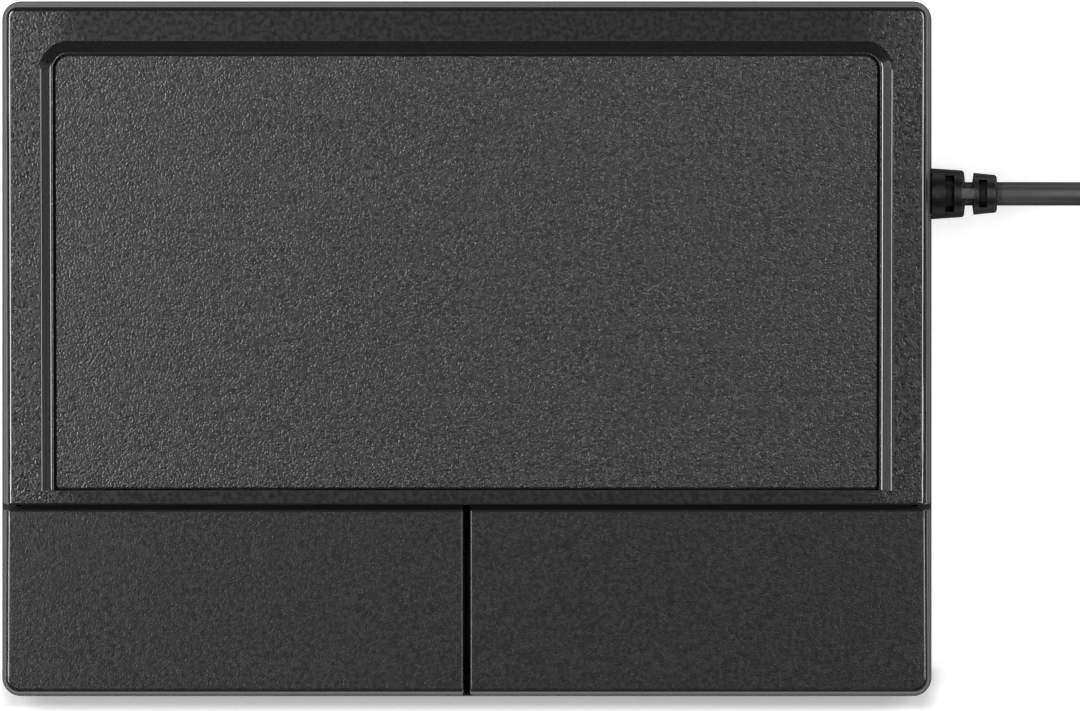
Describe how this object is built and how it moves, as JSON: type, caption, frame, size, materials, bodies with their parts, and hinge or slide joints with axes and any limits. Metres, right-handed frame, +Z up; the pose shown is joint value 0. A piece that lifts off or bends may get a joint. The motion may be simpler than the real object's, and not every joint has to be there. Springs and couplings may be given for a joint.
{
  "type": "trackpad",
  "caption": "Wedge-shaped corded desktop trackpad with a recessed touch surface, separate click keys along its front edge and a cable leaving its right side.",
  "frame": {"origin": "middle of the housing's outline, on the plane that the feet stand on", "axes": "+X to the user's right, where the cable leaves; +Y away from the user; +Z up"},
  "size_m": [0.2091, 0.0896, 0.0189],
  "materials": {
    "housing_plastic": "fine spark-eroded grain",
    "button_plastic": "very fine grain, slightly smoother than the housing",
    "touch_sheet": "coarse grain printed sheet",
    "foot_rubber": "matt",
    "screw_steel": "zinc plated",
    "relief_rubber": "satin moulded",
    "cable_jacket": "satin extruded",
    "plug_grip": "satin overmoulding",
    "plug_metal": "nickel plated",
    "plug_insert": "moulded insulator",
    "contact_brass": "gold plated",
    "adhesive": "transfer tape",
    "circuit_board": "black solder mask",
    "plate_steel": "tin plated sheet",
    "chip_plastic": "moulded epoxy",
    "capacitor_ceramic": "fired ceramic",
    "socket_plastic": "natural nylon",
    "ribbon_film": "laminated film",
    "plunger_plastic": "moulded",
    "wire_red": "extruded insulation",
    "wire_white": "extruded insulation",
    "wire_green": "extruded insulation",
    "wire_black": "extruded insulation"
  },
  "bodies": {
    "base": {"bottom_case": "housing_plastic", "top_cover": "housing_plastic", "touch_surface": "touch_sheet", "case_screws": "screw_steel", "front_left_foot": "foot_rubber", "front_right_foot": "foot_rubber", "back_left_foot": "foot_rubber", "back_right_foot": "foot_rubber", "strain_relief": "relief_rubber", "cord_stretch": "cable_jacket", "cord_coil": "cable_jacket", "cord_tail": "cable_jacket", "plug_grip": "plug_grip", "plug_shell": "plug_metal", "plug_tongue": "plug_insert", "plug_contacts": "contact_brass", "overlay_adhesive": "adhesive", "sensor_board": "circuit_board", "backing_plate": "plate_steel", "touch_controller": "chip_plastic", "sensor_capacitors": "capacitor_ceramic", "sensor_ribbon_socket": "socket_plastic", "ribbon_cable": "ribbon_film", "board_ribbon_socket": "socket_plastic", "main_board": "circuit_board", "usb_controller": "chip_plastic", "crystal": "plate_steel", "board_capacitors": "capacitor_ceramic", "cable_header": "socket_plastic", "cable_connector": "socket_plastic", "left_switch_body": "chip_plastic", "right_switch_body": "chip_plastic", "left_switch_cover": "plate_steel", "right_switch_cover": "plate_steel", "board_screws": "screw_steel", "held_cable": "cable_jacket", "red_wire": "wire_red", "white_wire": "wire_white", "green_wire": "wire_green", "black_wire": "wire_black"},
    "left_button": {"left_button": "button_plastic"},
    "right_button": {"right_button": "button_plastic"},
    "left_plunger": {"left_switch_plunger": "plunger_plastic"},
    "right_plunger": {"right_switch_plunger": "plunger_plastic"}
  },
  "joints": [
    {"name": "left_button_press", "type": "hinge", "parent": "base", "child": "left_button", "pos_m": [0, -0.016, 0.0084], "axis": [1, 0, 0], "range_deg": [0, 1], "stiffness_Nm_per_rad": 0.8, "springref_deg": -1.15},
    {"name": "left_plunger_travel", "type": "slide", "parent": "base", "child": "left_plunger", "axis": [0, 0, -1], "range_m": [0, 0.0003]},
    {"name": "right_button_press", "type": "hinge", "parent": "base", "child": "right_button", "pos_m": [0, -0.016, 0.0084], "axis": [1, 0, 0], "range_deg": [0, 1], "stiffness_Nm_per_rad": 0.8, "springref_deg": -1.15},
    {"name": "right_plunger_travel", "type": "slide", "parent": "base", "child": "right_plunger", "axis": [0, 0, -1], "range_m": [0, 0.0003]}
  ],
  "couplings": [
    {"joint": "left_plunger_travel", "follows": "left_button_press", "m_per_rad": 0.0171},
    {"joint": "right_plunger_travel", "follows": "right_button_press", "m_per_rad": 0.0171}
  ]
}
